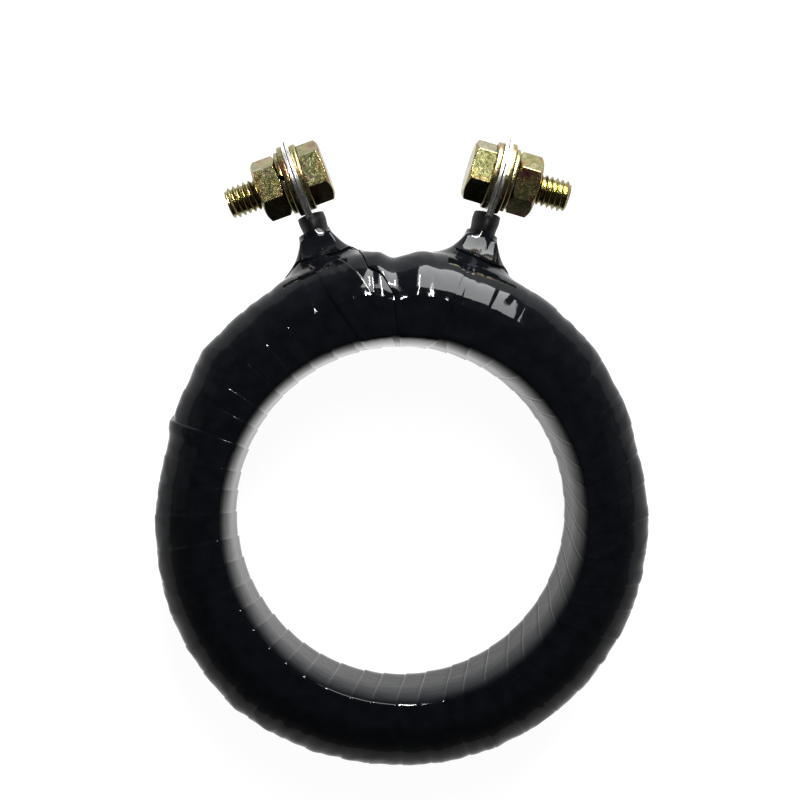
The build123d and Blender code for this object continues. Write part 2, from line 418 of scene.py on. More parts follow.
class Finish:
    """A small builder for one node material."""

    def __init__(self, name):
        self.material = bpy.data.materials.new(name)
        self.material.use_nodes = True
        self.tree = self.material.node_tree
        self.shader = self.tree.nodes["Principled BSDF"]
        self.place = self.add("ShaderNodeTexCoord").outputs["Object"]

    def add(self, kind, **values):
        node = self.tree.nodes.new(kind)
        for key, value in values.items():
            setattr(node, key, value)
        return node

    def link(self, start, end):
        self.tree.links.new(start, end)

    def noise(self, scale, detail=2.0, vector=None, roughness=0.5):
        """A noise texture's value, with scale in repeats per metre."""
        node = self.add("ShaderNodeTexNoise")
        node.inputs["Scale"].default_value = scale
        node.inputs["Detail"].default_value = detail
        node.inputs["Roughness"].default_value = roughness
        self.link(vector or self.place, node.inputs["Vector"])
        return node.outputs["Fac"]

    def stretched(self, scale):
        """Object coordinates with their own scale along each axis."""
        node = self.add("ShaderNodeMapping")
        node.inputs["Scale"].default_value = scale
        self.link(self.place, node.inputs["Vector"])
        return node.outputs["Vector"]

    def spread(self, value, low, high, start=0.3, end=0.7):
        """value between start and end, mapped to low and high."""
        node = self.add("ShaderNodeMapRange")
        limits = {"From Min": start, "From Max": end, "To Min": low, "To Max": high}
        for key, number in limits.items():
            node.inputs[key].default_value = number
        self.link(value, node.inputs["Value"])
        return node.outputs["Result"]

    def ramp(self, value, stops):
        """A colour ramp over value, from (place, colour) stops."""
        node = self.add("ShaderNodeValToRGB")
        marks = node.color_ramp.elements
        while len(marks) < len(stops):
            marks.new(0.5)
        for mark, (place, colour) in zip(marks, stops):
            mark.position = place
            mark.color = (*colour, 1)
        self.link(value, node.inputs["Fac"])
        return node.outputs["Color"]

    def bump(self, value, distance, strength=1.0, normal=None):
        """A bump of that distance in metres, on top of another."""
        node = self.add("ShaderNodeBump")
        node.inputs["Distance"].default_value = distance
        node.inputs["Strength"].default_value = strength
        self.link(value, node.inputs["Height"])
        if normal:
            self.link(normal, node.inputs["Normal"])
        return node.outputs["Normal"]

    def set(self, **values):
        """Sets or links the shader's own sockets, named with underscores for spaces."""
        for key, value in values.items():
            socket = self.shader.inputs[key.replace("_", " ")]
            if isinstance(value, bpy.types.NodeSocket):
                self.link(value, socket)
            else:
                socket.default_value = value


TAPE_GLOSS = 0.17             # specular level of the tape
WINDOW_GLOSS = 0.012          # and of the tape on the window's wall, kept near zero as painted shade that darkens the wall


def tape_finish(settings, name, level):
    """Glossy black tape: deep gloss with faint haze, and fine crinkles."""
    finish = Finish(name)
    haze = finish.noise(420, 4)
    crinkle = finish.noise(1500, 3)
    dimple = finish.noise(330, 2)
    rounded = finish.bump(dimple, 0.00012, 0.35)
    colour = tuple(settings.colour)
    tint = finish.ramp(haze, [(0.35, colour), (0.7, tuple(channel * 1.7 for channel in colour))])
    finish.set(
        Base_Color=tint,
        Roughness=finish.spread(haze, settings.roughness * 0.7, settings.roughness * 1.5),
        Normal=finish.bump(crinkle, 0.00002, 0.35, rounded),
        IOR=1.5,
        Specular_IOR_Level=level,
    )
    return finish.material


def sleeve_finish():
    """Satin black heat-shrink."""
    finish = Finish("heat_shrink")
    grain = finish.noise(2600, 3)
    wave = finish.noise(420, 2)
    stops = [(0.3, (0.0025, 0.0025, 0.003)), (0.7, (0.005, 0.005, 0.006))]
    finish.set(
        Base_Color=finish.ramp(wave, stops),
        Roughness=finish.spread(grain, 0.38, 0.52),
        Normal=finish.bump(grain, 0.00002, 0.4, finish.bump(wave, 0.00015, 0.4)),
        Specular_IOR_Level=0.2,
    )
    return finish.material


def tin_finish(terminal):
    """Bright tin plate with drawn streaks, and painted shade in the seam between the two leaves of
    a flattened tube.
    """
    finish = Finish(f"bright_tin_{terminal.side}")
    turned = finish.add("ShaderNodeMapping", vector_type="TEXTURE")
    turned.inputs["Location"].default_value = terminal.centre * MM
    turned.inputs["Rotation"].default_value = terminal.matrix.to_euler()
    finish.link(finish.place, turned.inputs["Vector"])
    parts = finish.add("ShaderNodeSeparateXYZ")
    finish.link(turned.outputs["Vector"], parts.inputs["Vector"])
    size = finish.add("ShaderNodeMath", operation="ABSOLUTE")
    finish.link(parts.outputs["Z"], size.inputs[0])
    seam = finish.spread(size.outputs[0], 0.0, 1.0, 0.00003, 0.00012)
    streak = finish.add("ShaderNodeMapping")
    streak.inputs["Scale"].default_value = (0.15, 0.15, 1)
    finish.link(turned.outputs["Vector"], streak.inputs["Vector"])
    drawn = finish.noise(3500, 3, streak.outputs["Vector"])
    cloud = finish.noise(500, 3)
    # Painted shade: the seam between the lug's two leaves is coloured near black
    shade = finish.add("ShaderNodeMix", data_type="RGBA")
    finish.link(seam, shade.inputs["Factor"])
    shade.inputs["A"].default_value = (0.04, 0.035, 0.03, 1)
    stops = [(0.3, (0.62, 0.60, 0.56)), (0.7, (0.86, 0.86, 0.85))]
    finish.link(finish.ramp(cloud, stops), shade.inputs["B"])
    finish.set(
        Base_Color=shade.outputs["Result"],
        Metallic=1.0,
        Roughness=finish.spread(drawn, 0.22, 0.4),
        Normal=finish.bump(seam, 0.00012, 1.0, finish.bump(drawn, 0.00002, 0.5)),
    )
    return finish.material


def zinc_finish(name, seed, roughness, rough_bump=0.00001):
    """Yellow passivated zinc: gold, olive, maroon and pink that change from face to face."""
    finish = Finish(name)
    coordinates = finish.tree.nodes["Texture Coordinate"]
    facet = finish.add("ShaderNodeVectorMath", operation="MULTIPLY_ADD")
    finish.link(coordinates.outputs["Normal"], facet.inputs[0])
    facet.inputs[1].default_value = (0.006, 0.006, 0.004)
    finish.link(finish.place, facet.inputs[2])
    moved = finish.add("ShaderNodeMapping")
    moved.inputs["Location"].default_value = (0.0173 * seed, 0.0291 * seed, 0)
    finish.link(facet.outputs[0], moved.inputs["Vector"])
    cloud = finish.noise(240, 3, moved.outputs["Vector"])
    speck = finish.noise(1900, 4)
    pit = finish.noise(4200, 3)
    colour = finish.ramp(
        cloud,
        [
            (0.30, (0.22, 0.10, 0.085)),
            (0.40, (0.26, 0.175, 0.09)),
            (0.48, (0.34, 0.29, 0.14)),
            (0.56, (0.20, 0.21, 0.095)),
            (0.64, (0.38, 0.35, 0.21)),
            (0.74, (0.34, 0.21, 0.18)),
        ],
    )
    dull = finish.add("ShaderNodeMix", data_type="RGBA", blend_type="MULTIPLY")
    finish.link(finish.spread(speck, 0.0, 0.25, 0.45, 0.75), dull.inputs["Factor"])
    finish.link(colour, dull.inputs["A"])
    dull.inputs["B"].default_value = (0.45, 0.40, 0.30, 1)
    finish.set(
        Base_Color=dull.outputs["Result"],
        Metallic=1.0,
        Roughness=finish.spread(speck, roughness * 0.75, roughness * 1.35),
        Normal=finish.bump(pit, rough_bump, 0.5, finish.bump(speck, rough_bump * 2, 0.3)),
    )
    return finish.material


def plain_finish(
    name, dark, light, roughness, metallic=0.0, scale=600, streaks=(1, 1, 1), clear=0.0
):
    """Finish of a layer inside the tape: a cloud or streaks between two colours."""
    finish = Finish(name)
    cloud = finish.noise(scale, 4, finish.stretched(streaks))
    finish.set(
        Base_Color=finish.ramp(cloud, [(0.35, dark), (0.65, light)]),
        Roughness=finish.spread(cloud, roughness * 0.8, roughness * 1.2),
        Normal=finish.bump(cloud, 0.00002, 0.5),
        Metallic=metallic,
        Coat_Weight=clear,
    )
    return finish.material


# ---------------------------------------------------------------- the taped ring's surface

RING_HIGH = Vector(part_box("outer_tape")[1]) / MM
RING_RADIUS = RING_HIGH.x
HALF_WIDTH = RING_HIGH.z
WINDOW = next(mount for mount in frame["record"]["mounts"] if mount["name"] == "window_bore")
WINDOW_RADIUS = WINDOW["dims"]["r_mm"]
INNER_CORNER = 1.1            # how far the window's edge is rounded, across
FRONT_BELLY = 14.0            # and how far down from the front and back faces
BACK_BELLY = 7.0
RIM_REACH = 8.0               # how far in from the rim the face starts to curve
RIM_DEPTH = 8.0               # how far down the rim's curve goes
RIM_POWER = 1.7
WRAP = 8.0                    # section parameter of one way round: see section()
STRAIGHT_RIM = HALF_WIDTH - RIM_DEPTH
WEB_SPREAD = 2.7              # how quickly the tape falls away from a terminal

# Outer radius of the uneven taped rim at a few angles
RIM_ANGLES = (
    -5, 15, 30, 45, 60, 75, 86, 92, 96, 101, 115,
    130, 140, 150, 165, 180, 210, 225, 270, 330, 355, 375,
)
RIM_RADII = (
    43.6, 43.3, 44.3, 45.4, 46.0, 46.4, 46.7, 45.7, 46.8, 47.2, 46.7,
    46.1, 46.0, 44.7, 43.5, 43.8, 44.6, 44.8, 43.9, 43.9, 43.6, 43.3,
)

# How far the tape's edges lean on the window's wall, back minus front, in degrees
LEAN_ANGLES = (0, 30, 50, 65, 90, 120, 150, 180, 230, 270, 320, 360)
LEAN_VALUES = (12.6, 12, 6, -3, -3.5, 0, 2.5, 2.8, 3.5, 4.8, 9, 12.6)

STRIP_THICKNESS = 0.16
SKIRT_THICKNESS = 0.18
SKIRT_WIDTH = 4.2             # how far a skirt reaches from its terminal

# Turns whose outer edge has lifted: angle, half-width, height
LOOSE_TURNS = ((140, 2.2, 0.55), (158, 2.6, 0.6), (229, 2.2, 0.55))


def angle_gap(angle, other):
    """The signed difference of two angles in degrees, from -180 to 180."""
    return (angle - other + 180) % 360 - 180


def rim_radius(angle):
    """Outer radius of the taped ring at an angle in degrees, eased between the listed ones."""
    places = np.mod(angle + 5, 360) - 5
    index = np.clip(np.searchsorted(RIM_ANGLES, places, side="right") - 1, 0, len(RIM_ANGLES) - 2)
    starts, radii = np.array(RIM_ANGLES), np.array(RIM_RADII)
    share = smoothed((places - starts[index]) / (starts[index + 1] - starts[index]), 0, 1)
    return radii[index] * (1 - share) + radii[index + 1] * share


def web_height(angle, z, settings):
    """How far the tape climbs the terminals above the rim."""
    height = np.zeros_like(angle)
    for terminal in TERMINALS.values():
        aside = np.radians(angle_gap(angle, math.degrees(terminal.angle))) * (RING_RADIUS + 4)
        out = np.hypot(np.maximum(np.abs(aside) - 2.5, 0), np.maximum(np.abs(z) - 4.2, 0))
        height = np.maximum(height, settings.web / MM * np.exp(-out / WEB_SPREAD))
    return height


def section(angle, way):
    """Radius, height and outward direction of the smooth ring at an angle and a way round.

    The way runs from 0 to 8: the rim going up, the front rim curve, the front face, the front
    inner corner, the window's wall going down, and the same again on the back.
    """
    way = np.mod(way, WRAP)
    behind = way > 4.5
    folded = np.where(behind, 9 - way, way)
    rim = rim_radius(angle)
    share = np.clip(folded - 1, 0, 1) * math.pi / 2
    flat_edge = rim - RIM_REACH
    across = np.maximum(np.cos(share), 1e-9) ** (2 / RIM_POWER)
    rise = np.maximum(np.sin(share), 1e-9) ** (2 / RIM_POWER)
    flat = np.clip(folded - 2, 0, 1)
    turn = np.clip(folded - 3, 0, 1) * math.pi / 2
    inner_edge = WINDOW_RADIUS + INNER_CORNER
    belly = np.where(behind, BACK_BELLY, FRONT_BELLY)
    down = np.clip(way - 4, 0, 1)
    radius = np.where(folded < 1, rim, flat_edge + RIM_REACH * across)
    radius = np.where(folded > 2, flat_edge + (inner_edge - flat_edge) * flat, radius)
    radius = np.where(folded > 3, inner_edge - INNER_CORNER * np.sin(turn), radius)
    z = np.where(folded < 1, STRAIGHT_RIM * (2 * folded - 1), STRAIGHT_RIM + RIM_DEPTH * rise)
    z = np.where(folded > 3, HALF_WIDTH - belly * (1 - np.cos(turn)), z)
    wall = HALF_WIDTH - FRONT_BELLY - (2 * HALF_WIDTH - FRONT_BELLY - BACK_BELLY) * down
    on_wall = (way >= 4) & (way <= 5)
    z = np.where(on_wall, wall, np.where(behind, -z, z))
    radius = np.where(on_wall, WINDOW_RADIUS, radius)
    lean_r = across ** (RIM_POWER - 1) / RIM_REACH
    lean_z = rise ** (RIM_POWER - 1) / RIM_DEPTH
    size = np.hypot(lean_r, lean_z)
    normal_r = np.where(folded < 1, 1.0, lean_r / size)
    normal_z = np.where(folded < 1, 0.0, lean_z / size)
    normal_r = np.where(folded > 2, 0.0, normal_r)
    normal_z = np.where(folded > 2, 1.0, normal_z)
    across_r, across_z = np.sin(turn) / INNER_CORNER, np.cos(turn) / belly
    size = np.hypot(across_r, across_z)
    normal_r = np.where(folded > 3, -across_r / size, normal_r)
    normal_z = np.where(folded > 3, across_z / size, normal_z)
    normal_z = np.where(behind, -normal_z, normal_z)
    normal_r = np.where(on_wall, -1.0, normal_r)
    normal_z = np.where(on_wall, 0.0, normal_z)
    return radius, z, normal_r, normal_z


def wrinkles(angle, way, settings):
    """Height of ripples, folds and crinkles: drawn tight on the window's wall, loose on the rim."""
    folded = np.where(way > 4.5, 9 - way, way)
    looseness = 0.05 + 0.95 * (1 - smoothed(folded, 1.3, 1.9))
    near_terminals = np.exp(-((angle_gap(angle, 90) / 38) ** 2))
    ripple = settings.ripple / MM
    fold = settings.fold / MM
    flat_angle, flat_way = angle.ravel(), way.ravel()
    values = np.empty(flat_angle.size)
    for index in range(flat_angle.size):
        turn = math.radians(flat_angle[index])
        east, north, along = math.cos(turn) * 40, math.sin(turn) * 40, flat_way[index]
        gate = noise.noise(Vector((east * 0.09, north * 0.09 + 5, along * 0.9)))
        warp = 0.8 * gate + 0.5 * noise.noise(Vector((east * 0.2, north * 0.2, along * 1.4)))
        narrow = noise.noise(Vector((east * 0.55 + warp, north * 0.55 - warp, along * 1.3)))
        wide = noise.noise(Vector((east * 0.22 + 9 + warp, north * 0.22, along * 1.1 + warp)))
        sharp = 1 - abs(noise.noise(Vector((east * 0.3 + warp, north * 0.3 + 3, along * 1.7)))) * 2
        values[index] = 1.4 * (
            ripple * narrow * (0.9 + 0.9 * gate)
            + fold * 0.3 * wide
            + ripple * 1.2 * max(sharp - 0.5, 0)
        )
    height = values.reshape(angle.shape) * looseness
    swirl = np.sin(np.radians(angle) * 19 + way * 2.1) * np.sin(way * 3.3 + np.radians(angle) * 5)
    height += fold * 0.2 * swirl * near_terminals * looseness
    return height


def calmness(angle, way, settings):
    """How free the tape is to wrinkle: 0 where it is drawn up a terminal, 1 away from them."""
    z = section(angle, way)[1]
    folded = np.where(way > 4.5, 9 - way, way)
    return 1 - smoothed(web_height(angle, z, settings) * (folded < 1.8), 0.1, 0.7)


def lifted(angle, way, height, settings):
    """Points in millimetres on the taped ring, raised along its outward direction."""
    radius, z, normal_r, normal_z = section(angle, way)
    on_rim = 1 - smoothed(np.abs(z), STRAIGHT_RIM - 3, STRAIGHT_RIM + 4)
    outside = smoothed(radius, RING_RADIUS - RIM_REACH, RING_RADIUS - RIM_REACH / 2)
    radius = radius + web_height(angle, z, settings) * on_rim * outside + normal_r * height
    z = z + normal_z * height
    turn = np.radians(angle)
    return np.stack([radius * np.cos(turn), radius * np.sin(turn), z], axis=-1)


def lean(angle, radius, z):
    """How far in degrees a tape edge has turned at a radius and height."""
    share = np.clip((RING_RADIUS - radius) / (RING_RADIUS - WINDOW_RADIUS), 0, 1)
    full = np.interp(np.mod(angle, 360), LEAN_ANGLES, LEAN_VALUES)
    return -0.5 * full * z / HALF_WIDTH * share


def row_places(turns, rows):
    """The angle in degrees of each row of the winding, and its share of its turn."""
    draw = np.random.default_rng(7)
    starts = (np.arange(turns) + draw.uniform(-0.13, 0.13, turns)) * 360 / turns
    shares = np.array([0, 0.04, 0.08, *np.linspace(0.15, 0.94, rows - 3)])
    widths = np.diff(np.append(starts, starts[0] + 360))
    angles = (starts[:, None] + widths[:, None] * shares).ravel()
    steps = draw.uniform(0.7, 1.3, turns)
    return angles, np.tile(shares, turns), np.repeat(steps, rows)


def section_ways():
    """The ways round the section where the winding has a column, closer where it curves."""
    counts = (14, 18, 7, 14, 8, 8, 5, 18)
    return np.concatenate([part + np.arange(count) / count for part, count in enumerate(counts)])


class CT_OT_tape_ring(bpy.types.Operator):
    """Winds the tape round the ring as one helical surface"""

    bl_idname = "ring_ct.tape_ring"
    bl_label = "Tape ring"

    def execute(self, context):
        settings = context.scene.ct_tape
        rows_per_turn = 16
        angles, shares, steps = row_places(settings.turns, rows_per_turn)
        ways = section_ways()
        rows, columns = len(angles), len(ways)
        ahead = np.append(angles[rows_per_turn:], angles[:rows_per_turn] + 360)
        advance = np.clip(ways, 0, 1)[None, :]
        angle = angles[:, None] * (1 - advance) + ahead[:, None] * advance
        way = np.tile(ways, (rows, 1))
        radius, z, _, _ = section(angle, way)
        angle = angle + lean(angle, radius, z)
        share, size = shares[:, None], steps[:, None]
        tight = smoothed(share, 0.0, 0.06)
        folded = np.where(way > 4.5, 9 - way, way)
        at_window, at_rim = smoothed(folded, 3.0, 3.8), 1 - smoothed(folded, 0.8, 1.7)
        edge_share = 0.25 + 0.75 * at_window + 0.3 * at_rim
        step = settings.step / MM * size * (tight * (1 - share) ** 1.5)
        crevice = 0.1 * np.exp(-((share / 0.03) ** 2)) + 0.05 * smoothed(share, 0.85, 1.0)
        calm = calmness(angle, way, settings)
        height = ((step - crevice) * edge_share + wrinkles(angle, way, settings)) * calm
        at_rim = smoothed(folded, 0.2, 1.0) * (1 - smoothed(folded, 1.5, 2.0)) * (way < 4)
        for middle, half_width, lift in LOOSE_TURNS:
            near = np.exp(-((angle_gap(angle, middle) / half_width) ** 2))
            height = height + lift * near * at_rim * tight * (1 - share)
        points = lifted(angle, way, height, settings).reshape(-1, 3)
        thing = new_mesh("tape_winding", points, helical_faces(rows, columns, rows_per_turn, True))
        close_up(thing, fill=False)
        finish_piece(thing, "root", MATERIALS["tape"], ["outer_tape"], smooth=40)
        # Faces on the window's wall take a copy of the tape with almost no gloss: painted shade
        # that darkens the wall
        thing.data.materials.append(MATERIALS["tape_window"])
        for polygon in thing.data.polygons:
            radius = math.hypot(polygon.center.x, polygon.center.y) / MM
            polygon.material_index = int(radius < WINDOW_RADIUS + INNER_CORNER * 0.8)
        return {"FINISHED"}


# Strips laid across the top: name, layer, and the way round and angle of points on both edges
STRIPS = (
    (
        "cross_strip_left",
        1,
        ((0.9, 110.7), (1.1, 110.2), (1.46, 109.3), (1.91, 108.2), (3.0, 104.0), (4.3, 101.5)),
        ((0.9, 106.4), (1.1, 104.9), (1.57, 100.8), (1.91, 97.5), (3.0, 94.0), (4.3, 92.0)),
    ),
    (
        "cross_strip_middle",
        2,
        (
            (0.2, 100.0), (1.2, 98.8), (1.5, 98.0), (1.62, 94.9),
            (1.85, 92.6), (3.0, 91.6), (4.3, 90.6),
        ),
        ((0.2, 80.0), (1.0, 78.5), (1.45, 76.0), (1.7, 76.8), (3.0, 79.0), (4.3, 81.5)),
    ),
)


class CT_OT_tape_strips(bpy.types.Operator):
    """Lays the finishing strips across the top of the ring"""

    bl_idname = "ring_ct.tape_strips"
    bl_label = "Tape strips"

    def execute(self, context):
        settings = context.scene.ct_tape
        long, wide = 90, 34
        for name, layer, left, right in STRIPS:
            way = np.linspace(left[0][0], left[-1][0], long)[:, None]
            edges = [np.interp(way, *np.array(edge).T) for edge in (left, right)]
            across = np.linspace(0, 1, wide)[None, :]
            angle = edges[0] * (1 - across) + edges[1] * across
            way = np.repeat(way, wide, axis=1)
            rounding = np.minimum(across, 1 - across) * wide / 2
            pull = np.sin(across * 21 + way * 2.0 + layer) * np.sin(way * 3.0 + layer)
            calm = calmness(angle, way, settings)
            height = 0.14 * layer + 0.06 + (wrinkles(angle, way, settings) + 0.02 * pull) * calm
            height = height - 0.08 * (1 - np.clip(rounding, 0, 1))
            points = lifted(angle, way, height, settings).reshape(-1, 3)
            thing = new_mesh(name, points, grid_faces(long, wide, False))
            thicken(thing, STRIP_THICKNESS, 0)
            close_up(thing, fill=False)
            finish_piece(thing, "root", MATERIALS["tape"], smooth=50)
        return {"FINISHED"}


class CT_OT_collars(bpy.types.Operator):
    """Drapes a skirt of tape round the foot of each terminal"""

    bl_idname = "ring_ct.collars"
    bl_label = "Tape collars"

    def execute(self, context):
        settings = context.scene.ct_tape
        around, deep = 72, 22
        for terminal in TERMINALS.values():
            turn = np.linspace(0, 2 * math.pi, around, endpoint=False)[:, None]
            out = np.linspace(0, 1, deep)[None, :] ** 1.3 * SKIRT_WIDTH
            out = out * (1 + 0.16 * np.sin(turn * 3 + 1) + 0.08 * np.sin(turn * 7))
            aside = (2.5 + out) * np.cos(turn)
            z = (4.25 + out * 0.85) * np.sin(turn)
            angle = math.degrees(terminal.angle) + np.degrees(aside / (RING_RADIUS + 4))
            pleat = 0.08 * np.sin(turn * 11 + out * 0.8) * smoothed(out, 0.2, 1.5)
            tail = 1 - smoothed(out / out.max(axis=1, keepdims=True), 0.35, 1.0)
            height = 0.17 + (0.14 + pleat) * tail + 1.2 * np.exp(-out / 0.4)
            way = (z / STRAIGHT_RIM + 1) / 2
            points = lifted(angle, way, height, settings).reshape(-1, 3)
            faces = grid_faces(around, deep, True)
            thing = new_mesh(f"tape_skirt_{terminal.side}", points, faces)
            thicken(thing, SKIRT_THICKNESS, -1)
            close_up(thing, fill=False)
            replaced = [f"tape_collar_{terminal.side}"]
            finish_piece(thing, "root", MATERIALS["tape"], replaced, smooth=60)
        return {"FINISHED"}


# ---------------------------------------------------------------- bolts, nuts and washers


def coned_cylinder(radius, low, high, end_radius, cone, ends):
    """A round bar whose chosen ends run out in a cone to another radius."""
    straight_low = low + cone if "low" in ends else low
    straight_high = high - cone if "high" in ends else high
    bpy.ops.mesh.primitive_cylinder_add(
        vertices=96,
        radius=radius,
        depth=straight_high - straight_low,
        location=(0, 0, (straight_high + straight_low) / 2),
    )
    thing = bpy.context.object
    bpy.ops.object.transform_apply(location=True, rotation=False, scale=False)
    for end, sign, height in (("low", -1, straight_low), ("high", 1, straight_high)):
        if end not in ends:
            continue
        bpy.ops.object.mode_set(mode="EDIT")
        bpy.ops.mesh.select_mode(type="FACE")
        bpy.ops.mesh.select_all(action="DESELECT")
        bpy.ops.object.mode_set(mode="OBJECT")
        for face in thing.data.polygons:
            face.select = face.normal.z * sign > 0.9
        bpy.ops.object.mode_set(mode="EDIT")
        bpy.ops.mesh.extrude_region_move(TRANSFORM_OT_translate={"value": (0, 0, sign * cone)})
        share = end_radius / radius
        bpy.ops.transform.resize(
            value=(share, share, 1), center_override=(0, 0, height + sign * cone)
        )
        bpy.ops.object.mode_set(mode="OBJECT")
    return thing


def combine(thing, tool, operation):
    """Cuts or intersects thing with tool, and removes the tool."""
    cut = thing.modifiers.new("Cut", "BOOLEAN")
    cut.operation = operation
    cut.solver = "EXACT"
    cut.object = tool
    apply_modifiers(thing)
    bpy.data.objects.remove(tool)


def hexagon(name, corner_radius, corner_angle, low, high, ends, settings):
    """A hexagon bar between two heights, with a cone turned on the chosen ends."""
    flats = corner_radius * math.cos(math.pi / 6)
    face = flats * settings.end_face
    cone = (corner_radius + 0.3 - face) * math.tan(math.radians(30))
    blank = coned_cylinder(corner_radius + 0.3, low, high, face, cone, ends)
    bpy.ops.object.select_all(action="DESELECT")
    bpy.ops.mesh.primitive_cylinder_add(
        vertices=6,
        radius=corner_radius,
        depth=high - low + 1,
        location=(0, 0, (low + high) / 2),
        rotation=(0, 0, corner_angle + math.pi / 2),
    )
    thing = bpy.context.object
    thing.name = name
    bpy.ops.object.transform_apply(location=True, rotation=True, scale=False)
    combine(thing, blank, "INTERSECT")
    return thing


def round_edges(thing, width, angle=24):
    """Rounds the sharp edges of a piece."""
    close_up(thing, fill=False)
    bevel = thing.modifiers.new("Edges", "BEVEL")
    bevel.width = width
    bevel.segments = 2
    bevel.limit_method = "ANGLE"
    bevel.angle_limit = math.radians(angle)
    bevel.use_clamp_overlap = True
    bevel.harden_normals = True
    activate(thing)
    bpy.ops.object.shade_smooth_by_angle(angle=math.radians(angle))
    apply_modifiers(thing)


def thread(name, low, high, crest, settings):
    """A threaded rod: a helical grid whose rows follow the thread's crests and roots."""
    pitch = settings.pitch / MM
    root = crest - settings.thread_depth / MM
    places = (0.0, 0.06, 0.12, 0.42, 0.50, 0.62, 0.70)
    depths = (0.93, 1.0, 0.93, 0.07, 0.0, 0.0, 0.07)
    columns, chamfer = 48, 0.5
    turns = math.ceil((high - low) / pitch) + 3
    start = low - 1.5 * pitch
    points = []
    for turn in range(turns):
        for place, depth in zip(places, depths):
            for column in range(columns):
                spin = column / columns
                z = start + pitch * (turn + place + spin)
                radius = root + (crest - root) * depth
                radius = min(radius, crest - max(0, z - (high - chamfer)))
                if z <= low or z >= high:
                    z, radius = min(max(z, low), high), root - 0.02
                spin *= 2 * math.pi
                points.append((radius * math.cos(spin), radius * math.sin(spin), z))
    rows = turns * len(places)
    thing = new_mesh(name, points, helical_faces(rows, columns, len(places), False))
    close_up(thing)
    return thing


def washer(name, inner, outer, low, high, edge, degrees=360.0, corner_steps=3, steps=96):
    """A ring turned from a rounded section, closed or with a gap."""
    bpy.ops.object.select_all(action="DESELECT")
    bpy.ops.mesh.primitive_plane_add(
        size=1, location=((inner + outer) / 2, 0, (low + high) / 2), rotation=(math.pi / 2, 0, 0)
    )
    thing = bpy.context.object
    thing.name = name
    thing.scale = (outer - inner, high - low, 1)
    bpy.ops.object.transform_apply(location=True, rotation=True, scale=True)
    bpy.ops.object.mode_set(mode="EDIT")
    bpy.ops.mesh.select_all(action="SELECT")
    bpy.ops.mesh.bevel(offset=edge, segments=corner_steps, affect="VERTICES")
    bpy.ops.mesh.select_all(action="SELECT")
    bpy.ops.mesh.delete(type="ONLY_FACE")
    bpy.ops.object.mode_set(mode="OBJECT")
    turned = thing.modifiers.new("Turned", "SCREW")
    turned.axis = "Z"
    turned.angle = math.radians(degrees)
    turned.steps = steps
    turned.render_steps = steps
    turned.use_merge_vertices = degrees == 360
    apply_modifiers(thing)
    close_up(thing, fill=degrees < 360)
    return thing


class CT_OT_bolts(bpy.types.Operator):
    """Makes the hexagon head bolts with their cut threads"""

    bl_idname = "ring_ct.bolts"
    bl_label = "Bolts"

    def execute(self, context):
        settings = context.scene.ct_bolts
        for terminal in TERMINALS.values():
            node = f"bolt_{terminal.side}"
            low, high = terminal.span(node)
            head_end = terminal.span(f"inner_washer_{terminal.side}")[0]
            corner_radius = terminal.radii(node)[1]
            head = hexagon(
                f"hex_bolt_{terminal.side}",
                corner_radius,
                terminal.corner(node),
                low,
                head_end,
                ("low",),
                settings,
            )
            round_edges(head, settings.edge / MM)
            crest = stud_radius(terminal)
            rod = thread("rod", head_end - 0.3, high, crest, settings)
            activate(rod)
            bpy.ops.object.shade_smooth_by_angle(angle=math.radians(35))
            activate(head)
            rod.select_set(True)
            bpy.ops.object.join()
            finish_piece(head, node, MATERIALS[node], [node], terminal.matrix, None)
        return {"FINISHED"}


def stud_radius(terminal):
    """Radius of the free stud, from the points near the bolt's end."""
    points = terminal.local(f"bolt_{terminal.side}")
    end = points[:, 2].max()
    free = points[(points[:, 2] > end - 4) & (points[:, 2] < end - 0.2)]
    return float(np.hypot(free[:, 0], free[:, 1]).max())


class CT_OT_nuts(bpy.types.Operator):
    """Makes the hexagon nuts"""

    bl_idname = "ring_ct.nuts"
    bl_label = "Nuts"

    def execute(self, context):
        settings = context.scene.ct_bolts
        for terminal in TERMINALS.values():
            node = f"nut_{terminal.side}"
            low, high = terminal.span(node)
            bore, corner_radius = terminal.radii(node)
            nut = hexagon(
                f"hex_nut_{terminal.side}",
                corner_radius,
                terminal.corner(node),
                low,
                high,
                ("low", "high"),
                settings,
            )
            hole = coned_cylinder(bore, low - 0.02, high + 0.02, bore + 0.45, 0.45, ("low", "high"))
            combine(nut, hole, "DIFFERENCE")
            round_edges(nut, settings.edge / MM)
            finish_piece(nut, node, MATERIALS[node], [node], terminal.matrix, None)
        return {"FINISHED"}


class CT_OT_washers(bpy.types.Operator):
    """Makes the plain washers on both sides of each lug"""

    bl_idname = "ring_ct.washers"
    bl_label = "Plain washers"

    def execute(self, context):
        for terminal in TERMINALS.values():
            for place in ("inner", "outer"):
                node = f"{place}_washer_{terminal.side}"
                low, high = terminal.span(node)
                bore, rim = terminal.radii(node)
                thing = washer(f"{place}_ring_{terminal.side}", bore, rim, low, high, 0.24)
                body = f"bolt_{terminal.side}" if place == "inner" else node
                material = MATERIALS["washer"]
                finish_piece(thing, body, material, [node], terminal.matrix)
        return {"FINISHED"}


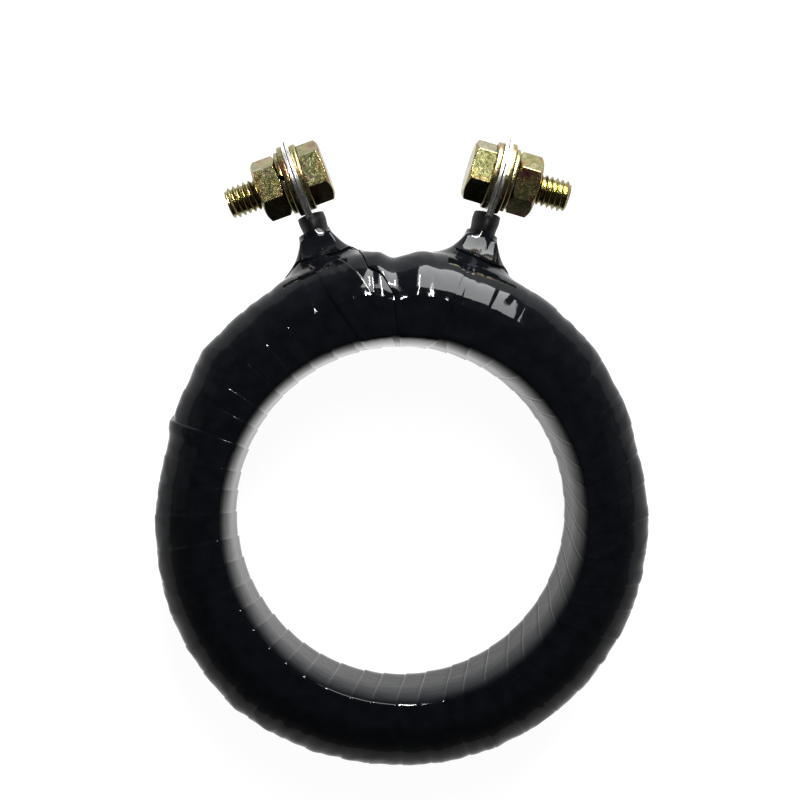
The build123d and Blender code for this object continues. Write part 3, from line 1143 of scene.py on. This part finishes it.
class CT_OT_spring_washers(bpy.types.Operator):
    """Makes the split spring washers"""

    bl_idname = "ring_ct.spring_washers"
    bl_label = "Spring washers"

    def execute(self, context):
        gap, slant = 0.8, math.tan(math.radians(20))
        for terminal in TERMINALS.values():
            node = f"spring_washer_{terminal.side}"
            low, high = terminal.span(node)
            bore, rim = terminal.radii(node)
            middle = (bore + rim) / 2
            open_degrees = math.degrees(gap / middle)
            thing = washer(
                f"spring_ring_{terminal.side}", bore, rim, low, high, 0.28, 360 - open_degrees
            )
            start = terminal.opening(node) + math.radians(open_degrees) / 2
            for vertex in thing.data.vertices:
                spin = start + slant * (vertex.co.z - (low + high) / 2) / middle
                vertex.co = Matrix.Rotation(spin, 3, "Z") @ vertex.co
            finish_piece(thing, node, MATERIALS["washer"], [node], terminal.matrix)
        return {"FINISHED"}


FILM_INSET = 0.3              # how far the film stays inside its CAD radius
FILM_CORNER = 4.4
FILM_WALL = 0.4


class CT_OT_film(bpy.types.Operator):
    """Makes the film between the winding and the tape, with the soft corners of the tape"""

    bl_idname = "ring_ct.film"
    bl_label = "Film"

    def execute(self, context):
        low, high = (Vector(corner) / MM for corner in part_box("film_wrap"))
        points = node_points("film_wrap")
        inner = float(np.hypot(points[:, 0], points[:, 1]).min())
        outer = high.x - FILM_INSET
        thing = washer("film_layer", inner, outer, low.z, high.z, FILM_CORNER, 360.0, 6, 120)
        thicken(thing, FILM_WALL, -1)
        finish_piece(thing, "root", MATERIALS["film"], ["film_wrap"])
        return {"FINISHED"}


SEAM_GAP = 0.02               # half the gap between a lug's two leaves
NECK_START = 0.6              # where a leaf starts to narrow, and where it ends, in palm radii
NECK_END = 1.45


class CT_OT_lugs(bpy.types.Operator):
    """Makes the ring lugs: a tube flattened to two leaves, with its round barrel below"""

    bl_idname = "ring_ct.lugs"
    bl_label = "Lugs"

    def execute(self, context):
        for terminal in TERMINALS.values():
            node = f"lug_{terminal.side}"
            points = terminal.local(node)
            palm_points = points[points[:, 0] > 2]
            half = float(np.abs(palm_points[:, 2]).max())
            palm = float(points[:, 0].max())
            hole = float(np.hypot(palm_points[:, 0], palm_points[:, 1]).min())
            foot = float(points[:, 0].min())
            barrel = float(np.abs(points[points[:, 0] < foot + 1][:, 1]).max())
            leaves = []
            for middle in (-half / 2 - SEAM_GAP, half / 2 + SEAM_GAP):
                leaf = self.leaf(palm, half - 0.06, middle, barrel)
                cutter = coned_cylinder(hole, -2, 2, hole, 0.1, ())
                combine(leaf, cutter, "DIFFERENCE")
                round_edges(leaf, half * 0.38, 40)
                leaves.append(leaf)
            tube = self.tube(barrel, foot, -palm * 1.15, half)
            thing = leaves[0]
            activate(thing)
            leaves[1].select_set(True)
            tube.select_set(True)
            bpy.ops.object.join()
            thing.name = f"ring_lug_{terminal.side}"
            finish_piece(thing, "root", MATERIALS[node], [node], terminal.matrix, 40)
        return {"FINISHED"}

    def leaf(self, palm, thickness, middle, barrel):
        """One leaf of the palm: a disc whose lower edge is drawn down into a neck."""
        bpy.ops.object.select_all(action="DESELECT")
        bpy.ops.mesh.primitive_cylinder_add(
            vertices=96, radius=palm, depth=thickness, location=(0, 0, middle)
        )
        leaf = bpy.context.object
        bpy.ops.object.transform_apply(location=True, rotation=False, scale=False)
        start, neck = palm * NECK_START, palm * NECK_END
        for vertex in leaf.data.vertices:
            if vertex.co.x < -start:
                share = (-vertex.co.x / palm - NECK_START) / (1 - NECK_START)
                ease = share * share * (3 - 2 * share)
                vertex.co.x = -start - ease * (neck - start)
                vertex.co.y = math.copysign(max(abs(vertex.co.y), barrel * 1.25), vertex.co.y)
        return leaf

    def tube(self, barrel, foot, neck, half):
        """The barrel, pressed flat at its upper end where it joins the palm."""
        depth = neck - foot
        bpy.ops.object.select_all(action="DESELECT")
        bpy.ops.mesh.primitive_cylinder_add(
            vertices=48,
            radius=barrel,
            depth=depth,
            location=((neck + foot) / 2, 0, 0),
            rotation=(0, math.pi / 2, 0),
        )
        tube = bpy.context.object
        bpy.ops.object.transform_apply(location=True, rotation=True, scale=False)
        for vertex in tube.data.vertices:
            if vertex.co.x > (neck + foot) / 2:
                vertex.co.z *= half / barrel
                vertex.co.y *= 1.5
        return tube


SLEEVE_WALL = 0.5
CRIMP_DROP = 4.6              # from a sleeve's top to the middle of its crimp mark
CRIMP_DEPTH = 0.35


class CT_OT_sleeves(bpy.types.Operator):
    """Makes the heat-shrink sleeves, with the dimple of the crimp under each"""

    bl_idname = "ring_ct.sleeves"
    bl_label = "Sleeves"

    def execute(self, context):
        around, long = 96, 90
        for terminal in TERMINALS.values():
            node = f"sleeve_{terminal.side}"
            points = terminal.local(node)
            top, foot = float(points[:, 0].max()), float(points[:, 0].min())
            wide, deep = float(np.abs(points[:, 2]).max()), float(np.abs(points[:, 1]).max())
            front = 1.0 if terminal.across.z > 0 else -1.0
            spin = np.linspace(0, 2 * math.pi, around, endpoint=False)[:, None]
            place = np.linspace(top, foot, long)[None, :]
            necked = 0.05 * smoothed(top - place, 1.0, 3.5)
            shrink = 1 - necked + 0.015 * np.sin(place * 2.1 + spin * 2)
            across = deep * np.sin(spin) * shrink
            along = wide * np.cos(spin) * shrink
            away = np.hypot(place - (top - CRIMP_DROP), along)
            dimple = CRIMP_DEPTH * (1 - smoothed(away, 0.7, 1.25)) * (across * front > 0)
            across = across - front * dimple
            grid = np.stack([place + 0 * spin, across, along], axis=-1).reshape(-1, 3)
            faces = grid_faces(around, long, True)
            thing = new_mesh(f"shrink_sleeve_{terminal.side}", grid, faces)
            close_up(thing, fill=False)
            thicken(thing, SLEEVE_WALL, -1)
            finish_piece(thing, "root", MATERIALS["sleeve"], [node], terminal.matrix, 50)
        return {"FINISHED"}


# ---------------------------------------------------------------- carried-over nodes


class CT_OT_carried_nodes(bpy.types.Operator):
    """Gives the layers inside the tape their finishes"""

    bl_idname = "ring_ct.carried_nodes"
    bl_label = "Carried-over nodes"

    def execute(self, context):
        for side in SIDES:
            repaint(f"lead_{side}", MATERIALS["wire"])
        repaint("secondary_winding", MATERIALS["wire"])
        repaint("core_strip", MATERIALS["core"])
        for place in ("paper_inner", "paper_outer", "end_ring_front", "end_ring_back"):
            repaint(f"core_{place}", MATERIALS["paper"])
        return {"FINISHED"}


# ---------------------------------------------------------------- stage


def area_light(name, tilt, turn, distance, size, power):
    """An area light that faces the ring, tilted from straight above and turned from +Y to +X."""
    light = bpy.data.lights.new(name, "AREA")
    light.shape = "RECTANGLE"
    light.size, light.size_y = size
    light.energy = power
    thing = bpy.data.objects.new(name, light)
    bpy.context.scene.collection.objects.link(thing)
    tilt, turn = math.radians(tilt), math.radians(turn)
    flat = math.sin(tilt)
    place = Vector((flat * math.sin(turn), flat * math.cos(turn), math.cos(tilt)))
    thing.location = place * distance
    thing.rotation_mode = "QUATERNION"
    thing.rotation_quaternion = (-place).to_track_quat("-Z", "X")
    return thing


# Lights: name, degrees from straight above, degrees from +Y to +X, distance, size and setting
LIGHTS = (
    ("strip_light", 44, 4, 0.55, (0.56, 0.012), "strip_power"),
    ("panel_light", 66, 14, 0.65, (0.60, 0.34), "panel_power"),
    ("left_light", 68, -80, 0.6, (0.34, 0.2), "side_power"),
    ("right_light", 68, 80, 0.6, (0.34, 0.2), "side_power"),
)


class CT_OT_stage(bpy.types.Operator):
    """Sets the floor, the lights and the camera"""

    bl_idname = "ring_ct.stage"
    bl_label = "Stage"

    def execute(self, context):
        settings = context.scene.ct_stage
        bpy.ops.object.select_all(action="DESELECT")
        bpy.ops.mesh.primitive_plane_add(size=6, location=(0, 0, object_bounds()[0].z - 0.0002))
        floor = context.object
        floor.name = "floor"
        finish = Finish("pale_floor")
        mottle = finish.noise(3, 2)
        stops = [(0.3, (0.045, 0.045, 0.045)), (0.7, (0.05, 0.05, 0.05))]
        finish.set(
            Base_Color=finish.ramp(mottle, stops),
            Roughness=0.8,
            Emission_Color=(1, 1, 1, 1),
            Emission_Strength=settings.floor_glow,
        )
        floor.data.materials.append(finish.material)
        floor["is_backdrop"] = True
        for name, tilt, turn, distance, size, power in LIGHTS:
            area_light(name, tilt, turn, distance, size, getattr(settings, power))
        self.sky(context)
        self.camera(context, settings)
        context.scene.view_settings.view_transform = "Standard"
        context.scene.view_settings.gamma = settings.contrast
        return {"FINISHED"}

    def sky(self, context):
        """A studio that is dark overhead and bright near the floor."""
        world = bpy.data.worlds.new("studio")
        context.scene.world = world
        world.use_nodes = True
        tree = world.node_tree
        background = tree.nodes["Background"]
        coordinates = tree.nodes.new("ShaderNodeTexCoord")
        parts = tree.nodes.new("ShaderNodeSeparateXYZ")
        ramp = tree.nodes.new("ShaderNodeValToRGB")
        tree.links.new(coordinates.outputs["Generated"], parts.inputs["Vector"])
        tree.links.new(parts.outputs["Z"], ramp.inputs["Fac"])
        tree.links.new(ramp.outputs["Color"], background.inputs["Color"])
        marks = ramp.color_ramp.elements
        marks.new(0.45)
        for mark, (place, value) in zip(marks, ((0.05, 0.45), (0.35, 0.18), (0.75, 0.06))):
            mark.position = place
            mark.color = (value, value, value, 1)

    def camera(self, context, settings):
        """The camera, almost straight above the ring."""
        camera = bpy.data.cameras.new("camera")
        camera.lens = settings.lens
        camera.sensor_width = 36
        camera.clip_start = 0.01
        camera.clip_end = 20
        thing = bpy.data.objects.new("camera", camera)
        context.scene.collection.objects.link(thing)
        thing.location = settings.camera_place
        east, north = settings.camera_turn
        back = Vector((-math.tan(east), -math.tan(north), 1)).normalized()
        right = Vector((0, 1, 0)).cross(back).normalized()
        turned = Matrix((right, back.cross(right), back)).transposed()
        thing.rotation_mode = "QUATERNION"
        thing.rotation_quaternion = turned.to_quaternion()
        context.scene.camera = thing


class CT_PT_panel(bpy.types.Panel):
    """The sidebar's list of pieces and settings"""

    bl_idname = "CT_PT_panel"
    bl_label = "Ring current transformer"
    bl_space_type = "VIEW_3D"
    bl_region_type = "UI"
    bl_category = "Ring CT"

    def draw(self, context):
        for operator in OPERATORS:
            self.layout.operator(operator.bl_idname)
        for group in (context.scene.ct_tape, context.scene.ct_bolts, context.scene.ct_stage):
            for key in group.__annotations__:
                self.layout.prop(group, key)


OPERATORS = (
    CT_OT_tape_ring,
    CT_OT_tape_strips,
    CT_OT_collars,
    CT_OT_bolts,
    CT_OT_nuts,
    CT_OT_washers,
    CT_OT_spring_washers,
    CT_OT_lugs,
    CT_OT_sleeves,
    CT_OT_film,
    CT_OT_carried_nodes,
    CT_OT_stage,
)
GROUPS = {"ct_tape": TapeSettings, "ct_bolts": BoltSettings, "ct_stage": StageSettings}
MATERIALS = {}


def make_materials(scene):
    """Makes every finish once."""
    roughness = scene.ct_bolts.roughness
    MATERIALS["tape"] = tape_finish(scene.ct_tape, "glossy_tape", TAPE_GLOSS)
    # The window's wall gets a copy of the tape with almost no gloss: painted shade, not worn tape
    MATERIALS["tape_window"] = tape_finish(scene.ct_tape, "rubbed_tape", WINDOW_GLOSS)
    MATERIALS["sleeve"] = sleeve_finish()
    for seed, side in enumerate(SIDES):
        MATERIALS[f"lug_{side}"] = tin_finish(TERMINALS[side])
        MATERIALS[f"bolt_{side}"] = zinc_finish(f"plated_bolt_{side}", seed + 1, roughness)
        MATERIALS[f"nut_{side}"] = zinc_finish(f"plated_nut_{side}", seed + 4, roughness)
    MATERIALS["washer"] = zinc_finish("plated_washer", 8, roughness * 1.2, 0.00003)
    MATERIALS["wire"] = plain_finish(
        "enamelled_wire", (0.36, 0.12, 0.05), (0.62, 0.26, 0.11), 0.3, 1.0, clear=0.8
    )
    MATERIALS["core"] = plain_finish(
        "core_strip_steel", (0.24, 0.25, 0.27), (0.45, 0.46, 0.48), 0.35, 1.0, 900, (1, 1, 0.1)
    )
    MATERIALS["film"] = plain_finish("polyester_film", (0.74, 0.72, 0.6), (0.88, 0.87, 0.79), 0.25)
    MATERIALS["paper"] = plain_finish("pressboard", (0.42, 0.31, 0.18), (0.66, 0.54, 0.36), 0.8)


def register():
    for group in (*GROUPS.values(), *OPERATORS, CT_PT_panel):
        bpy.utils.register_class(group)
    for name, group in GROUPS.items():
        setattr(bpy.types.Scene, name, bpy.props.PointerProperty(type=group))


def unregister():
    for name in GROUPS:
        delattr(bpy.types.Scene, name)
    for group in (CT_PT_panel, *reversed(OPERATORS), *reversed(GROUPS.values())):
        bpy.utils.unregister_class(group)


def main():
    """Builds every piece and the stage."""
    register()
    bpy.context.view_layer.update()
    make_materials(bpy.context.scene)
    bpy.ops.ring_ct.tape_ring()
    bpy.ops.ring_ct.tape_strips()
    bpy.ops.ring_ct.collars()
    bpy.ops.ring_ct.bolts()
    bpy.ops.ring_ct.nuts()
    bpy.ops.ring_ct.washers()
    bpy.ops.ring_ct.spring_washers()
    bpy.ops.ring_ct.lugs()
    bpy.ops.ring_ct.sleeves()
    bpy.ops.ring_ct.film()
    bpy.ops.ring_ct.carried_nodes()
    bpy.ops.ring_ct.stage()


if __name__ == "__main__":
    main()
